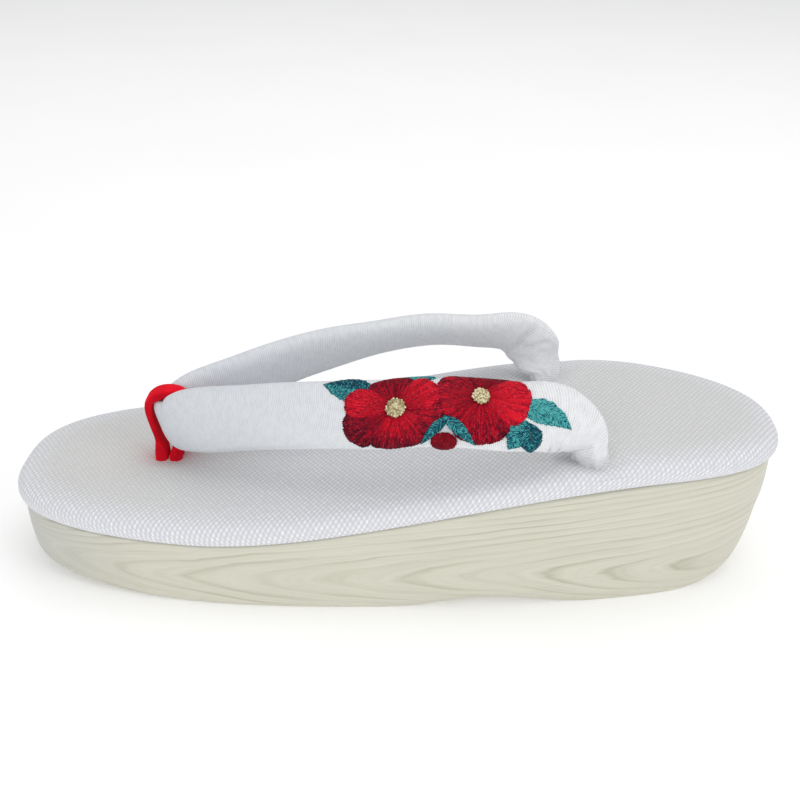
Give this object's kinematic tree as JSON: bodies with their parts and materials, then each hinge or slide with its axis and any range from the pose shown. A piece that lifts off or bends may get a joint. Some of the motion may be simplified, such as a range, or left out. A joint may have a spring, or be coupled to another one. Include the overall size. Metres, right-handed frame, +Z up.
{
  "type": "geta",
  "caption": "Left geta: wedge-shaped wood-grain base, white cushioned footbed, padded white V strap with red camellia embroidery on its outer arm, and a red toe thong.",
  "frame": {"origin": "on the floor, under the centre of the bounding box", "axes": "+X from the toe to the heel, -Y to the outer side of the foot, +Z up from the floor"},
  "size_m": [0.24, 0.0902, 0.0724],
  "materials": {
    "wood_grain": "satin, printed or oiled pale grain",
    "woven_white": "matt white basket weave over foam",
    "strap_cloth": "matt white ribbed cloth over padding",
    "red_felt": "matt red velvet or felt",
    "petal_thread": "satin-stitch thread, soft sheen",
    "stamen_thread": "knotted gold-cream thread",
    "leaf_thread": "satin-stitch thread, soft sheen",
    "bud_thread": "satin-stitch thread, soft sheen"
  },
  "bodies": {
    "root": {"sole_block": "wood_grain", "cushion": "woven_white", "strap": "strap_cloth", "thong": "red_felt", "flower_front": "petal_thread", "flower_rear": "petal_thread", "stamens_front": "stamen_thread", "stamens_rear": "stamen_thread", "bud": "bud_thread", "leaf_front": "leaf_thread", "leaf_rear": "leaf_thread", "leaf_low_front": "leaf_thread", "leaf_low_rear": "leaf_thread", "leaf_top": "leaf_thread", "sepal_front": "leaf_thread", "sepal_rear": "leaf_thread"}
  },
  "joints": []
}
